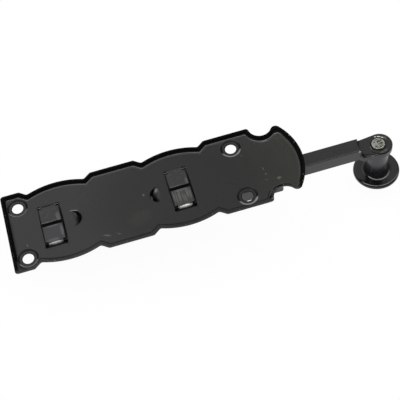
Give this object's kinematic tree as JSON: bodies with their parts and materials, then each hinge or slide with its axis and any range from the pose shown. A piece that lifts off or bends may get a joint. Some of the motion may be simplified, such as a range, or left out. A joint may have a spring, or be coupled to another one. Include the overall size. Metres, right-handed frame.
{
  "type": "sliding bolt",
  "caption": "Surface-mounted door bolt: scalloped pressed back plate, flat bar sliding in clinched guide straps, narrow tail with a riveted disc knob.",
  "frame": {"origin": "middle of the four screw holes, on the plane of the back plate's rim, where it meets the door", "axes": "+X along the slide from the nose of the bolt to the knob, +Y across the plate, +Z out of the back of the plate towards the door"},
  "size_m": [0.206, 0.0466, 0.0366],
  "materials": {
    "plate_paint": "satin black paint over pressed sheet steel",
    "strap_paint": "satin black paint over folded strip, rubbed bright at the folds",
    "bar_paint": "satin black paint over forged bar",
    "knob_paint": "semi-gloss black paint over turned steel, bare at the peened end",
    "pin_steel": "plain drawn steel"
  },
  "bodies": {
    "plate": {"back_plate": "plate_paint", "nose_guide_strap": "strap_paint", "knob_guide_strap": "strap_paint"},
    "bolt": {"bolt_bar": "bar_paint", "stop_pin": "pin_steel", "pull_knob": "knob_paint"}
  },
  "joints": [
    {"name": "bolt_slide", "type": "slide", "parent": "plate", "child": "bolt", "axis": [-1, 0, 0], "range_m": [0, 0.0335]}
  ]
}
